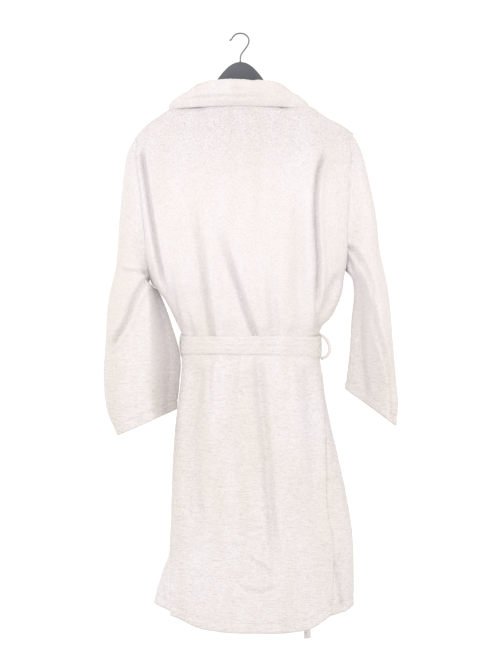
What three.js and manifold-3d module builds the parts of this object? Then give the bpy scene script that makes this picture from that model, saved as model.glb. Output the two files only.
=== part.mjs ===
// A terry bathrobe on its hanger, in millimetres, +Z up.
// The origin is the inside top of the hanger's hook, where the hook sits on a peg.
// The robe's back faces -Y, its front +Y, and the wearer's left side -X.
// Heights are given as levels: millimetres down from the origin.

import * as THREE from "three";
import { ParametricGeometry } from "three/addons/geometries/ParametricGeometry.js";
import * as BufferGeometryUtils from "three/addons/utils/BufferGeometryUtils.js";
import Module from "manifold-3d";

const wasm = await Module();
wasm.setup();

// Cloth and running gaps
const CLOTH = 4; // pile to pile
const GAP = 0.5; // between solids that touch on the real robe
const SEAM_GAP = 0.2; // each seam edge stands back this far from the seam's plane

// Levels of the robe
const PIT_LEVEL = 545;
const WAIST_LEVEL = 690; // middle of the belt
const FLAP_LEVEL = 902; // below this the outer front swings open
const HEM_SIDE_LEVEL = 1264;
const HEM_BACK_LEVEL = 1325;
const HEM_FRONT_LEVEL = 1292;

// Widths, depths and sideways lean of the hanging robe
const SHOULDER_HALF = 242;
const PIT_HALF = 215;
const WAIST_HALF = 150;
const HEM_HALF = 208;
const SHOULDER_DEPTH = 45;
const CHEST_DEPTH = 68;
const WAIST_DEPTH = 56;
const HEM_DEPTH = 96;
const SHOULDER_LEAN = 7;
const PIT_LEAN = 15;
const WAIST_LEAN = 21;
const HEM_LEAN = 36;

// Shoulder line and neck
const NECK_HALF = 92;
const NECK_LEVEL = 149; // of the shoulder line at the side of the neck
const NECK_DEPTH = 45;
const NECK_DIP = 2;
const SHOULDER_SLOPE = 0.48;
const SHOULDER_ROUND = 50; // radius of the fold of cloth over the shoulder
const HANGER_CLEAR = 3.9; // under the cloth's inner face, above the bar

// Hanger
const WIRE_RADIUS = 1.6;
const HOOK_RADIUS = 19; // inside the bend
const HOOK_BACKSET = 17; // the shank starts to turn this far below the bend's centre
const HANGER_APEX = 68;
const HANGER_HALF = 197;
const HANGER_ARCH = 47; // half width of the rounded top
const HANGER_ARCH_DROP = 31;
const BAR_HALF_HEIGHT = 10;
const BAR_HALF_THICK = 7;
const BAR_END_HALF_THICK = 10;
const FERRULE_HEIGHT = 9;
const FERRULE_RADIUS = 5;

// Sleeves
const ARM_DEPTH = 42; // half depth at the armhole
const CUFF_DEPTH = 46;
const SLEEVE_HINGE_LEVEL = PIT_LEVEL + 16;
const SLEEVE_SWING = 45; // degrees
const ARMHOLE_GAP = 0.8;
const HINGE_GAP = 0.45; // each side of the line where a sleeve bends

// Collar
const COLLAR_CLOTH = 5;
const LAPEL_SETTLE = 12.5; // how close the lapels lie to the fronts

// Belt
const BELT_WIDTH = 41;
const BELT_CLOTH = 4;
const BELT_GAP = 1;
const BELT_MARGIN = 8; // the waist stays narrow this far above and below the belt
const KNOT_X = 138;
const KNOT_HALF = [30, 22, 25];
const KNOT_SINK = 0.4; // the knot's round back settles this far towards the belt's curve
const TAIL_TOP = 22.3; // below the knot's middle
const TAIL_WIDTH = 26;
const TAIL_CLOTH = 6;
const TAIL_LEAN = 22;
const TAIL_FORWARD = 13; // the tails leave the front of the knot
const LONG_TAIL_LEVEL = 1342;
const SHORT_TAIL_LEVEL = 1288;
const LOOP_WIDTH = 10;
const LOOP_END_WIDTH = 3; // where it is sewn down
const LOOP_CLOTH = 2.5;
const LOOP_REACH_RIGHT = 29;
const LOOP_REACH_LEFT = 14;
const LOOP_END_GAP = 1.05; // from the seam to the middle of the strip
const LOOP_OVERRUN = 9; // above and below the belt

// Pockets
const POCKET_TOP = 752;
const POCKET_HEIGHT = 140;
const LEFT_POCKET_FULLNESS = 18;
const RIGHT_POCKET_FULLNESS = 14;
const POCKET_WALL = 3;

// Neck label and hanging loop
const LABEL = [44, 28, 0.8];
const LABEL_LEVEL = 222;
const LABEL_CLEAR = 0.4;
const LOCKER_HALF = 15;
const LOCKER_DROP = 42;
const LOCKER_RADIUS = 1.6;
const LOCKER_LEVEL = NECK_LEVEL + 3.6;
const LOCKER_FORWARD = 4; // in front of the cloth's inner face

const BELT_TOP = WAIST_LEVEL - BELT_WIDTH / 2;
const BELT_FOOT = WAIST_LEVEL + BELT_WIDTH / 2;
const LAPEL_END_LEVEL = BELT_TOP - 14.5;
const { lerp, clamp, smoothstep, degToRad } = THREE.MathUtils;

const stations = (levels, values) => {
  const line = new THREE.LinearInterpolant(levels, values, 1);
  return (level) => line.evaluate(clamp(level, levels[0], levels.at(-1)))[0];
};

// The hanging figure: half width, half depth and lean against level
const SHOULDER_TIP = NECK_LEVEL + (SHOULDER_HALF - NECK_HALF) * SHOULDER_SLOPE;
const RIBS = (PIT_LEVEL + BELT_TOP) / 2 - 8;
const KNEES = (BELT_FOOT + HEM_SIDE_LEVEL) / 2;
const halfWidth = stations(
  [SHOULDER_TIP, PIT_LEVEL, RIBS, BELT_TOP - BELT_MARGIN, BELT_FOOT + BELT_MARGIN, KNEES, HEM_SIDE_LEVEL],
  [
    SHOULDER_HALF,
    PIT_HALF,
    lerp(PIT_HALF, WAIST_HALF, 0.46),
    WAIST_HALF,
    WAIST_HALF,
    lerp(WAIST_HALF, HEM_HALF, 0.64),
    HEM_HALF,
  ],
);
const halfDepth = stations(
  [SHOULDER_TIP, (SHOULDER_TIP + PIT_LEVEL) / 2, PIT_LEVEL, WAIST_LEVEL, KNEES, HEM_SIDE_LEVEL],
  [
    SHOULDER_DEPTH,
    lerp(SHOULDER_DEPTH, CHEST_DEPTH, 0.7),
    CHEST_DEPTH,
    WAIST_DEPTH,
    lerp(WAIST_DEPTH, HEM_DEPTH, 0.75),
    HEM_DEPTH,
  ],
);
const lean = stations(
  [SHOULDER_TIP, PIT_LEVEL, BELT_TOP - BELT_MARGIN, BELT_FOOT + BELT_MARGIN, KNEES, HEM_SIDE_LEVEL],
  [SHOULDER_LEAN, PIT_LEAN, WAIST_LEAN, WAIST_LEAN, lerp(WAIST_LEAN, HEM_LEAN, 0.75), HEM_LEAN],
);
const sideX = (side, level) => lean(level) + side * halfWidth(level);

// Joins triangles into one closed body that faces out
function weld(geometries) {
  const joined = BufferGeometryUtils.mergeGeometries(geometries);
  joined.deleteAttribute("normal");
  joined.deleteAttribute("uv");
  const merged = BufferGeometryUtils.mergeVertices(joined, 1e-3);
  const corners = merged.index.array;
  const kept = [];
  for (let i = 0; i < corners.length; i += 3) {
    const [a, b, c] = corners.subarray(i, i + 3);
    if (a !== b && b !== c && c !== a) kept.push(a, b, c);
  }
  merged.setIndex(kept);
  if (volumeOf(merged) < 0) {
    merged.setIndex(kept.reverse());
  }
  merged.computeVertexNormals();
  return merged;
}

function volumeOf(geometry) {
  const { position } = geometry.attributes;
  const { array } = geometry.index;
  const [a, b, c] = [new THREE.Vector3(), new THREE.Vector3(), new THREE.Vector3()];
  let sum = 0;
  for (let i = 0; i < array.length; i += 3) {
    a.fromBufferAttribute(position, array[i]);
    b.fromBufferAttribute(position, array[i + 1]);
    c.fromBufferAttribute(position, array[i + 2]);
    sum += a.dot(b.cross(c)) / 6;
  }
  return sum;
}

// A solid whose three parameters run over the unit cube; skin(u, v, w, target) gives its points.
// A closed one meets itself from u = 1 to u = 0 and has no side walls.
function block(skin, across, along, closed = false, through = 1) {
  const faces = [
    [(a, b, t) => skin(b, a, 0, t), along, across],
    [(a, b, t) => skin(a, b, 1, t), across, along],
    [(a, b, t) => skin(a, 0, b, t), across, through],
    [(a, b, t) => skin(b, 1, a, t), through, across],
  ];
  if (!closed) {
    faces.push([(a, b, t) => skin(0, b, a, t), through, along]);
    faces.push([(a, b, t) => skin(1, a, b, t), along, through]);
  }
  return weld(faces.map(([face, slices, stacks]) => new ParametricGeometry(face, slices, stacks)));
}

function toManifold(geometry) {
  const { position } = geometry.attributes;
  return new wasm.Manifold(
    new wasm.Mesh({
      numProp: 3,
      vertProperties: new Float32Array(position.array),
      triVerts: new Uint32Array(geometry.index.array),
    }),
  );
}

function fromManifold(solid) {
  const mesh = solid.getMesh();
  const geometry = new THREE.BufferGeometry();
  geometry.setAttribute("position", new THREE.BufferAttribute(mesh.vertProperties, 3));
  geometry.setIndex(new THREE.BufferAttribute(mesh.triVerts, 1));
  geometry.computeVertexNormals();
  return geometry;
}

// Shoulder line: level of the top of the cloth
const shoulderLevel = (x) =>
  NECK_LEVEL +
  Math.max(0, Math.abs(x) - NECK_HALF) * SHOULDER_SLOPE +
  NECK_DIP * Math.max(0, 1 - (x / NECK_HALF) ** 2);

// Half depth of the armhole's mouth at a level
function armholeDepth(level, side) {
  const top = shoulderLevel(sideX(side, SHOULDER_TIP));
  const share = clamp((level - top) / (PIT_LEVEL - top), 0, 1);
  return ARM_DEPTH * 2 * Math.sqrt(share * (1 - share));
}

// Rows of the body crowd towards the shoulder, and two of them lie just above and below the belt
const ROWS = 20;
const WAIST_ROWS = [10 / ROWS, 12 / ROWS];
function rowLevel(fall, top, foot) {
  const [above, below] = WAIST_ROWS;
  if (fall <= above) return lerp(top, BELT_TOP - BELT_MARGIN, (fall / above) ** 1.6);
  if (fall <= below) {
    const share = (fall - above) / (below - above);
    return lerp(BELT_TOP - BELT_MARGIN, BELT_FOOT + BELT_MARGIN, share);
  }
  return lerp(BELT_FOOT + BELT_MARGIN, foot, (fall - below) / (1 - below));
}

// A point of the robe's body. around: 0 at the left side seam, 1 at the right one.
// face: -1 for the back and 1 for the front. fall: 0 at the shoulder, 1 at the foot level.
// inset: how far inside the cloth's outer face.
function bodyPoint(around, fall, foot, face, inset, target) {
  const cosine = Math.cos(Math.PI * around);
  const sine = Math.sin(Math.PI * around) ** 0.8;
  const topX = lean(SHOULDER_TIP) - halfWidth(SHOULDER_TIP) * cosine;
  const top = shoulderLevel(topX) + inset;
  const level = rowLevel(fall, top, foot);
  const x = lean(level) - (halfWidth(level) - inset) * cosine;
  const side = around < 0.5 ? -1 : 1;
  const mouth = Math.max(armholeDepth(level, side) - inset, SEAM_GAP);
  const full = halfDepth(level) - inset;
  const depth = Math.sqrt(mouth ** 2 + Math.max(0, full ** 2 - mouth ** 2) * sine ** 2);
  const neck = NECK_DEPTH * Math.sqrt(Math.max(0, 1 - (topX / NECK_HALF) ** 2)) - inset;
  const edge = Math.max(face < 0 ? neck : 0, SEAM_GAP);
  const drop = 1 - clamp((level - top) / SHOULDER_ROUND, 0, 1);
  const y = Math.sqrt(edge ** 2 + Math.max(0, depth ** 2 - edge ** 2) * (1 - drop ** 2));
  return target.set(x, face * y, -level);
}

// The same surface below the shoulders, placed straight by level
function skirtPoint(around, level, face, inset, target) {
  const cosine = Math.cos(Math.PI * around);
  const sine = Math.sin(Math.PI * around) ** 0.8;
  const x = lean(level) - (halfWidth(level) - inset) * cosine;
  const y = Math.max((halfDepth(level) - inset) * sine, SEAM_GAP);
  return target.set(x, face * y, -level);
}

const aroundAt = (x, level) =>
  Math.acos(clamp((lean(level) - x) / halfWidth(level), -1, 1)) / Math.PI;

// The free edges of the two fronts cross at the waist
const CROSSING = 62; // how far past the middle each front reaches at the waist
const FLAP_EDGE_X = 100; // outer front's free edge in the skirt
const INNER_EDGE_X = -90;
const edgeLevels = [SHOULDER_TIP, WAIST_LEVEL, HEM_SIDE_LEVEL];
const outerEdge = stations(edgeLevels, [
  aroundAt(-NECK_HALF - 4, SHOULDER_TIP),
  aroundAt(CROSSING, WAIST_LEVEL),
  aroundAt(FLAP_EDGE_X, HEM_SIDE_LEVEL),
]);
const innerEdge = stations(edgeLevels, [
  aroundAt(NECK_HALF + 4, SHOULDER_TIP),
  aroundAt(-CROSSING, WAIST_LEVEL),
  aroundAt(INNER_EDGE_X, HEM_SIDE_LEVEL),
]);
const hemLevel = (around, middle) =>
  lerp(HEM_SIDE_LEVEL, middle, Math.sin(Math.PI * around) ** 0.8);

// The inner front lies one cloth further in where the outer front covers it
const TUCK_GAP = 1.5;
const tuck = (around, level) =>
  (CLOTH + TUCK_GAP) * (1 - smoothstep(around, outerEdge(level) + 0.015, outerEdge(level) + 0.09));

function backPanel() {
  const skin = (u, v, w, target) =>
    bodyPoint(u, v, hemLevel(u, HEM_BACK_LEVEL), -1, w * CLOTH, target);
  return block(skin, 20, ROWS);
}

function leftFront() {
  const foot = FLAP_LEVEL - GAP;
  const skin = (u, v, w, target) => {
    const edge = outerEdge(rowLevel(v, SHOULDER_TIP, foot));
    return bodyPoint(u * edge, v, foot, 1, w * CLOTH, target);
  };
  return block(skin, 10, ROWS);
}

function leftFrontLower() {
  const skin = (u, v, w, target) => {
    const edge = outerEdge(lerp(FLAP_LEVEL, HEM_SIDE_LEVEL, v));
    const around = u * edge;
    const level = lerp(FLAP_LEVEL + GAP, hemLevel(around, HEM_FRONT_LEVEL), v);
    return skirtPoint(around, level, 1, w * CLOTH, target);
  };
  return block(skin, 12, 6);
}

function rightFront() {
  const skin = (u, v, w, target) => {
    const level = rowLevel(v, SHOULDER_TIP, HEM_SIDE_LEVEL);
    const around = lerp(innerEdge(level), 1, u);
    const inset = tuck(around, level) + w * CLOTH;
    return bodyPoint(around, v, hemLevel(around, HEM_FRONT_LEVEL), 1, inset, target);
  };
  return block(skin, 14, ROWS);
}

// One sleeve's outlines: points [reach, level] of its inner and outer sides, seen from behind.
// Reach is measured outwards from the body's side at the pit, and levels down from the pit.
const SLEEVE_SHAPES = [
  {
    name: "left",
    side: -1,
    hinge: 9,
    cap: [[56, -255], [62, -131], [70, -58]],
    outer: [[82, 16], [91, 105], [99, 215], [84, 339]],
    inner: [[4, 16], [-20, 65], [-42, 135], [-52, 215], [-56, 283]],
  },
  {
    name: "right",
    side: 1,
    hinge: 24,
    cap: [[42, -245], [63, -131], [78, -58]],
    outer: [[90, 16], [101, 92], [109, 205], [110, 317]],
    inner: [[16, 16], [15, 92], [11, 164], [6, 243]],
  },
];
const SLEEVES = SLEEVE_SHAPES.map((shape) => {
  const from = sideX(shape.side, PIT_LEVEL);
  const place = ([reach, level]) => [from + shape.side * reach, PIT_LEVEL + level];
  return {
    name: shape.name,
    side: shape.side,
    hingeX: from + shape.side * shape.hinge,
    cap: shape.cap.map(place),
    outer: shape.outer.map(place),
    inner: shape.inner.map(place),
  };
});

const outline = (points) =>
  new THREE.CatmullRomCurve3(points.map(([x, level]) => new THREE.Vector3(x, 0, -level)));

// A flattened tube's ring between an inner and an outer end
function ringPoint(inner, outer, depth, u, inset, target) {
  const angle = 2 * Math.PI * u;
  const half = inner.distanceTo(outer) / 2;
  const share = 0.5 - 0.5 * Math.cos(angle) * (1 - inset / half);
  target.lerpVectors(inner, outer, share);
  target.y = (depth - inset) * Math.sin(angle);
  return target;
}

// The edge beside the hinge rises or falls with distance outwards, to leave room for the swing
const hingeEdge = (x, { hingeX, side }, turn) =>
  -SLEEVE_HINGE_LEVEL +
  turn * (HINGE_GAP + Math.max(0, side * (x - hingeX)) * Math.tan(degToRad(SLEEVE_SWING / 2 + 1)));

function sleeveUpper(sleeve) {
  const { side, cap, outer, inner } = sleeve;
  const shoulderX = sideX(side, SHOULDER_TIP) + side * ARMHOLE_GAP;
  const pitX = sideX(side, PIT_LEVEL) + side * ARMHOLE_GAP;
  const shoulderTop = shoulderLevel(sideX(side, SHOULDER_TIP));
  const [foot] = outer;
  const edge = outline([[shoulderX, shoulderTop], ...cap, [foot[0], -hingeEdge(foot[0], sleeve, 1)]]);
  const pit = outline([[pitX, PIT_LEVEL], [inner[0][0], -hingeEdge(inner[0][0], sleeve, 1)]]);
  const [near, far] = [new THREE.Vector3(), new THREE.Vector3()];
  const skin = (u, v, w, target) => {
    pit.getPoint(v, near);
    edge.getPoint(v, far);
    ringPoint(near, far, ARM_DEPTH, u, w * CLOTH, target);
    if (v === 1) target.z = hingeEdge(target.x, sleeve, 1);
    return target;
  };
  return block(skin, 16, 7, true);
}

function sleeveLower(sleeve) {
  const [outer, inner] = [outline(sleeve.outer), outline(sleeve.inner)];
  const [near, far] = [new THREE.Vector3(), new THREE.Vector3()];
  const skin = (u, v, w, target) => {
    inner.getPoint(v, near);
    outer.getPoint(v, far);
    ringPoint(near, far, lerp(ARM_DEPTH, CUFF_DEPTH, v), u, w * CLOTH, target);
    const lowest = hingeEdge(target.x, sleeve, -1);
    const foot = lerp(inner.points.at(-1).z, outer.points.at(-1).z, shareBetween(target.x, sleeve));
    target.z = lerp(lowest, foot, v);
    return target;
  };
  return block(skin, 16, 6, true);
}

function shareBetween(x, { inner, outer }) {
  const [from, to] = [inner.at(-1)[0], outer.at(-1)[0]];
  return clamp((x - from) / (to - from), 0, 1);
}

const NECK_CENTRE = lean(SHOULDER_TIP) - 9;
const NECK_INSIDE = -(NECK_DEPTH - CLOTH - GAP);

// Collar: a fold of cloth that straddles the neckline.
// Each line runs round the neck and is placed from the neckline:
// reach sideways and backwards, then its fall at the sides and at the back.
const COLLAR_LINES = [
  [63, 17, 17, 12],
  [43, 18, -4, -21],
  [18, 7, -20, -45],
  [4, -4, -19, -27],
  [-4.5, -6.9, -10, 2.7],
].map(([reach, behind, side, back]) => [
  NECK_HALF + reach,
  NECK_DEPTH + behind,
  NECK_LEVEL + side,
  NECK_LEVEL + back,
]);

function collarBack() {
  const ends = degToRad(1);
  const section = (angle) => {
    const back = Math.sin(angle);
    const points = COLLAR_LINES.map(
      ([half, depth, sideLevel, backLevel]) =>
        new THREE.Vector3(
          NECK_CENTRE - half * Math.cos(angle),
          -depth * back,
          -lerp(sideLevel, backLevel, back ** 0.7),
        ),
    );
    return new THREE.CatmullRomCurve3(points);
  };
  const [here, next] = [new THREE.Vector3(), new THREE.Vector3()];
  const skin = (u, v, w, target) => {
    const angle = lerp(ends, Math.PI - ends, u);
    const curve = section(angle);
    curve.getPoint(v, here);
    curve.getTangent(v, next);
    const outward = new THREE.Vector3(-Math.cos(angle), -Math.sin(angle), 0);
    const run = next.dot(outward);
    const normal = outward.multiplyScalar(next.z).add(new THREE.Vector3(0, 0, -run)).normalize();
    target.copy(here).addScaledVector(normal, (w - 0.5) * COLLAR_CLOTH);
    target.y = Math.min(target.y, -GAP);
    return target;
  };
  return block(skin, 16, 8);
}

// A lapel is ruled between its free edge and its fold, lying on the front
function lapel(side) {
  const place = (x, y, level) => new THREE.Vector3(side * x, y, -level);
  const shift = new THREE.Vector3(NECK_CENTRE, 0, 0);
  const chest = (share) => lerp(NECK_LEVEL, WAIST_LEVEL, share);
  const edge = [
    place(NECK_HALF + 63, 3, NECK_LEVEL + 17),
    place(NECK_HALF + 54, NECK_DEPTH - 7, NECK_LEVEL + 47),
    place(NECK_HALF + 28, CHEST_DEPTH - 6, chest(0.26)),
    place(70, CHEST_DEPTH + 8, chest(0.555)),
    place(-8, CHEST_DEPTH + 11, LAPEL_END_LEVEL - 20),
  ];
  const fold = [
    place(NECK_HALF + 18, 3, NECK_LEVEL - 20),
    place(NECK_HALF, NECK_DEPTH - 5, NECK_LEVEL + 11),
    place(66, CHEST_DEPTH, chest(0.242)),
    place(24, CHEST_DEPTH + 12, chest(0.537)),
    place(-48, CHEST_DEPTH + 9, LAPEL_END_LEVEL),
  ];
  const [rim, crease] = [new THREE.CatmullRomCurve3(edge), new THREE.CatmullRomCurve3(fold)];
  const [from, to] = [new THREE.Vector3(), new THREE.Vector3()];
  const layer = side > 0 ? 0 : COLLAR_CLOTH + 3 * GAP;
  const skin = (u, v, w, target) => {
    rim.getPoint(v, from);
    crease.getPoint(v, to);
    target.lerpVectors(from, to, u).add(shift);
    const forward = smoothstep(v, 0, 0.25);
    const lift = w * COLLAR_CLOTH;
    target.y += (lift + layer * smoothstep(v, 0.1, 0.4)) * lerp(0.25, 1, forward);
    target.y -= LAPEL_SETTLE * smoothstep(v, 0.2, 0.5);
    target.z += lift * (1 - forward);
    return target;
  };
  return block(skin, 4, 14);
}

function neckLabel() {
  const label = new THREE.BoxGeometry(LABEL[0], LABEL[2], LABEL[1]);
  return label.translate(NECK_CENTRE, NECK_INSIDE + LABEL_CLEAR, -LABEL_LEVEL);
}

function lockerLoop() {
  const drop = LOCKER_LEVEL + LOCKER_DROP;
  const y = NECK_INSIDE + LOCKER_FORWARD;
  const path = new THREE.CatmullRomCurve3(
    [
      [-LOCKER_HALF, LOCKER_LEVEL],
      [-LOCKER_HALF, drop - LOCKER_HALF],
      [-LOCKER_HALF * 0.7, drop - LOCKER_HALF * 0.3],
      [0, drop],
      [LOCKER_HALF * 0.7, drop - LOCKER_HALF * 0.3],
      [LOCKER_HALF, drop - LOCKER_HALF],
      [LOCKER_HALF, LOCKER_LEVEL],
    ].map(([x, level]) => new THREE.Vector3(x, y, -level)),
  );
  return cordAlong(path, LOCKER_RADIUS, 16);
}

function cordAlong(path, radius, steps) {
  const circle = new THREE.Shape().absarc(0, 0, radius, 0, 2 * Math.PI);
  const cord = new THREE.ExtrudeGeometry(circle, { steps, curveSegments: 5, extrudePath: path });
  return weld([cord]);
}

// Hanger
function hangerHook() {
  const bend = HOOK_RADIUS + WIRE_RADIUS;
  const centre = -HOOK_RADIUS;
  const points = [new THREE.Vector3(-bend - 4, 0, centre + 1)];
  for (let turn = 170; turn >= -30; turn -= 20) {
    const angle = degToRad(turn);
    points.push(new THREE.Vector3(bend * Math.cos(angle), 0, centre + bend * Math.sin(angle)));
  }
  points.push(new THREE.Vector3(5, 0, centre - HOOK_BACKSET - 8));
  points.push(new THREE.Vector3(0, 0, centre - HOOK_BACKSET - 17));
  points.push(new THREE.Vector3(0, 0, -HANGER_APEX + GAP + 1));
  return cordAlong(new THREE.CatmullRomCurve3(points), WIRE_RADIUS, 30);
}

function hookFerrule() {
  const bore = WIRE_RADIUS + GAP;
  const foot = -HANGER_APEX + GAP;
  const profile = [
    [bore, 0],
    [FERRULE_RADIUS, 0],
    [FERRULE_RADIUS, FERRULE_HEIGHT - 2],
    [FERRULE_RADIUS - 1.5, FERRULE_HEIGHT],
    [bore, FERRULE_HEIGHT],
    [bore, 0],
  ].map(([radius, height]) => new THREE.Vector2(radius, height));
  const ring = new THREE.LatheGeometry(profile, 20);
  ring.rotateX(Math.PI / 2);
  ring.translate(0, 0, foot);
  return weld([ring]);
}

function hangerBody() {
  const rest = (x) => -shoulderLevel(x) - CLOTH - HANGER_CLEAR;
  const bar = (side) =>
    [lerp(HANGER_ARCH, NECK_HALF, 0.49), NECK_HALF, (NECK_HALF + HANGER_HALF) / 2, HANGER_HALF].map((x, i) => {
      const arch = i ? rest(x) : lerp(-HANGER_APEX - HANGER_ARCH_DROP, rest(NECK_HALF), 0.5);
      return new THREE.Vector3(side * x, 0, arch);
    });
  const arch = [-1, -0.7, -0.38, 0, 0.38, 0.7, 1].map(
    (share) =>
      new THREE.Vector3(share * HANGER_ARCH, 0, -HANGER_APEX - HANGER_ARCH_DROP * share ** 2),
  );
  const path = new THREE.CatmullRomCurve3([...bar(-1).reverse(), ...arch, ...bar(1)]);
  const [here, run] = [new THREE.Vector3(), new THREE.Vector3()];
  const skin = (u, v, w, target) => {
    path.getPointAt(v, here);
    path.getTangentAt(v, run);
    const outward = Math.abs(here.x) / HANGER_HALF;
    const thick = lerp(BAR_HALF_THICK, BAR_END_HALF_THICK, smoothstep(outward, 0.3, 1));
    const blunt = Math.sqrt(clamp(1 - ((outward - 0.95) / 0.06) ** 2, 0.3, 1));
    const end = outward > 0.95 ? blunt : 1;
    const angle = 2 * Math.PI * u;
    const up = new THREE.Vector3(-run.z, 0, run.x);
    const size = w * end;
    target.copy(here).addScaledVector(up, BAR_HALF_HEIGHT * (size * Math.sin(angle) - 1));
    target.y += thick * size * Math.cos(angle);
    return target;
  };
  const shell = (face, slices, stacks) => new ParametricGeometry(face, slices, stacks);
  return weld([
    shell((a, b, t) => skin(a, b, 1, t), 12, 30),
    shell((a, b, t) => skin(a, 0, b, t), 12, 1),
    shell((a, b, t) => skin(b, 1, a, t), 1, 12),
  ]);
}

// Belt
function beltWrap() {
  const skin = (u, v, w, target) => {
    const around = u < 0.5 ? 2 * u : 2 - 2 * u;
    const inset = -BELT_GAP - w * BELT_CLOTH;
    skirtPoint(around, lerp(BELT_TOP, BELT_FOOT, v), u < 0.5 ? -1 : 1, inset, target);
    if (around === 0 || around === 1) target.y = 0;
    return target;
  };
  return block(skin, 36, 2, true);
}

const beltFront = new THREE.Vector3();
skirtPoint(aroundAt(KNOT_X - 12, WAIST_LEVEL), WAIST_LEVEL, 1, -BELT_GAP - BELT_CLOTH, beltFront);
const KNOT_Y = beltFront.y + KNOT_HALF[1] - KNOT_SINK;

function beltKnot() {
  const knot = new THREE.SphereGeometry(1, 16, 10);
  knot.scale(...KNOT_HALF);
  knot.translate(KNOT_X, KNOT_Y, -WAIST_LEVEL);
  return weld([knot]);
}

function beltTail(topX, footX, footLevel) {
  const top = WAIST_LEVEL + TAIL_TOP;
  const skin = (u, v, w, target) =>
    target.set(
      lerp(topX, footX, v) + (u - 0.5) * TAIL_WIDTH,
      KNOT_Y + TAIL_FORWARD + lerp(0, TAIL_LEAN, v) + (w - 0.5) * TAIL_CLOTH,
      -lerp(top, footLevel, v),
    );
  return block(skin, 3, 8);
}

function beltLoop(side, reach) {
  const edge = (level) => sideX(side, level);
  const [top, foot] = [BELT_TOP - LOOP_OVERRUN, BELT_FOOT + LOOP_OVERRUN];
  const near = LOOP_END_GAP;
  const out = (share, level) => new THREE.Vector3(edge(level) + side * lerp(near, reach, share), 0, -level);
  const path = new THREE.CatmullRomCurve3([
    out(0, top),
    out(0.45, top + 7),
    out(0.8, WAIST_LEVEL - 6),
    out(1, WAIST_LEVEL + 12),
    out(0.75, foot - 6),
    out(0, foot),
  ]);
  const [here, run] = [new THREE.Vector3(), new THREE.Vector3()];
  const skin = (u, v, w, target) => {
    path.getPoint(v, here);
    path.getTangent(v, run);
    target.copy(here);
    target.x += -run.z * (w - 0.5) * LOOP_CLOTH;
    target.z += run.x * (w - 0.5) * LOOP_CLOTH;
    target.y = (u - 0.5) * lerp(LOOP_END_WIDTH, LOOP_WIDTH, Math.sin(Math.PI * v) ** 0.5);
    return target;
  };
  return block(skin, 1, 18);
}

// A patch pocket: a shallow bag, open at the top and against the front
function pocket(from, to, fullness) {
  const patch = (margin, foot, top, inner, outer) => {
    const skin = (u, v, w, target) => {
      const level = lerp(top, foot, v);
      const inset = -lerp(inner, outer, w);
      return skirtPoint(lerp(from + margin, to - margin, u), level, 1, inset, target);
    };
    return toManifold(block(skin, 6, 4));
  };
  const foot = POCKET_TOP + POCKET_HEIGHT;
  const bag = patch(0, foot, POCKET_TOP, GAP, fullness + POCKET_WALL);
  const room = patch(0.012, foot - POCKET_WALL, POCKET_TOP - 10, GAP - 2, fullness);
  return fromManifold(bag.subtract(room));
}

// Materials
const terry = () => new THREE.MeshStandardMaterial({ color: 0xf3ede3, roughness: 0.95 });
const slate = () => new THREE.MeshStandardMaterial({ color: 0x5b6066, roughness: 0.55 });
const steel = () =>
  new THREE.MeshStandardMaterial({ color: 0xb9bcc0, roughness: 0.3, metalness: 1 });
const satin = () => new THREE.MeshStandardMaterial({ color: 0xf8f6f1, roughness: 0.5 });

const robe = new THREE.Group();

function add(name, geometry, material) {
  const mesh = new THREE.Mesh(geometry, material);
  mesh.name = name;
  robe.add(mesh);
}

add("hanger_hook", hangerHook(), steel());
add("hook_ferrule", hookFerrule(), steel());
add("hanger_body", hangerBody(), slate());
add("back_panel", backPanel(), terry());
add("left_front", leftFront(), terry());
add("left_front_lower", leftFrontLower(), terry());
add("right_front", rightFront(), terry());
for (const sleeve of SLEEVES) {
  add(`${sleeve.name}_sleeve_upper`, sleeveUpper(sleeve), terry());
  add(`${sleeve.name}_sleeve_lower`, sleeveLower(sleeve), terry());
}
add("collar_back", collarBack(), terry());
add("left_lapel", lapel(-1), terry());
add("right_lapel", lapel(1), terry());
add("neck_label", neckLabel(), satin());
add("locker_loop", lockerLoop(), satin());
add("belt_wrap", beltWrap(), terry());
add("belt_knot", beltKnot(), terry());
add("belt_tail_long", beltTail(KNOT_X + 15, KNOT_X + 12, LONG_TAIL_LEVEL), terry());
add("belt_tail_short", beltTail(KNOT_X - 14, KNOT_X - 18, SHORT_TAIL_LEVEL), terry());
add("belt_loop_left", beltLoop(-1, LOOP_REACH_LEFT), terry());
add("belt_loop_right", beltLoop(1, LOOP_REACH_RIGHT), terry());
add("left_pocket", pocket(0.17, 0.5, LEFT_POCKET_FULLNESS), terry());
add("right_pocket", pocket(0.68, 0.93, RIGHT_POCKET_FULLNESS), terry());

export default robe;
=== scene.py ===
"""Looks of the terry bathrobe on its hanger. Metres, +Z up; the robe's back faces -Y."""

import math

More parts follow.
